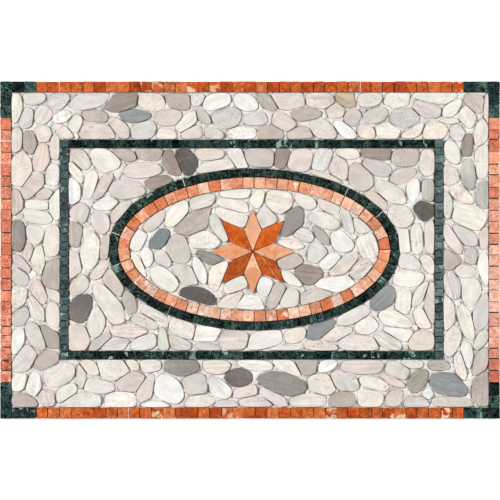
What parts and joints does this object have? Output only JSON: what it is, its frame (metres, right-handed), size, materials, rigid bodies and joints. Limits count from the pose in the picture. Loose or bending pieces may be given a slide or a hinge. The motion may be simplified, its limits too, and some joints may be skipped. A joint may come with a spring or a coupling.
{
  "type": "mosaic panel",
  "caption": "Flat rectangular inlay panel of sliced river pebbles with marble tile borders, an oval and a star at its centre, on a thin net.",
  "frame": {"origin": "middle of the underside, the face that beds on a floor or wall", "axes": "+Z out of the stone face, +X along the panel, +Y across it, towards the picture's top"},
  "size_m": [0.9, 0.6076, 0.0111],
  "materials": {
    "net": "glass-fibre net with pale adhesive",
    "orange_tile": "honed orange marble",
    "green_tile": "honed dark green marble",
    "pale_orange_tile": "honed pale orange marble",
    "star_pale": "honed peach marble",
    "star_deep": "honed rust-coloured marble",
    "pebble": "flat-cut pale river pebble, honed"
  },
  "bodies": {
    "root": {"border_bottom": "orange_tile", "border_left": "orange_tile", "border_right": "orange_tile", "border_top": "orange_tile", "corner_bottom_left": "green_tile", "corner_bottom_right": "green_tile", "corner_top_left": "green_tile", "corner_top_right": "green_tile", "frame_bottom": "green_tile", "frame_left": "green_tile", "frame_right": "green_tile", "frame_top": "green_tile", "net_backing": "net", "oval_green_1": "green_tile", "oval_green_2": "green_tile", "oval_green_3": "green_tile", "oval_green_4": "green_tile", "oval_orange_1": "pale_orange_tile", "oval_orange_2": "pale_orange_tile", "oval_orange_3": "pale_orange_tile", "oval_orange_4": "pale_orange_tile", "pebbles_band_bottom": "pebble", "pebbles_band_left": "pebble", "pebbles_band_right": "pebble", "pebbles_band_top": "pebble", "pebbles_field_bottom_left": "pebble", "pebbles_field_bottom_right": "pebble", "pebbles_field_top_left": "pebble", "pebbles_field_top_right": "pebble", "pebbles_oval_left": "pebble", "pebbles_oval_right": "pebble", "star_point_1": "star_pale", "star_point_2": "star_deep", "star_point_3": "star_pale", "star_point_4": "star_deep", "star_point_5": "star_pale", "star_point_6": "star_deep", "star_point_7": "star_pale", "star_point_8": "star_deep"}
  },
  "joints": []
}
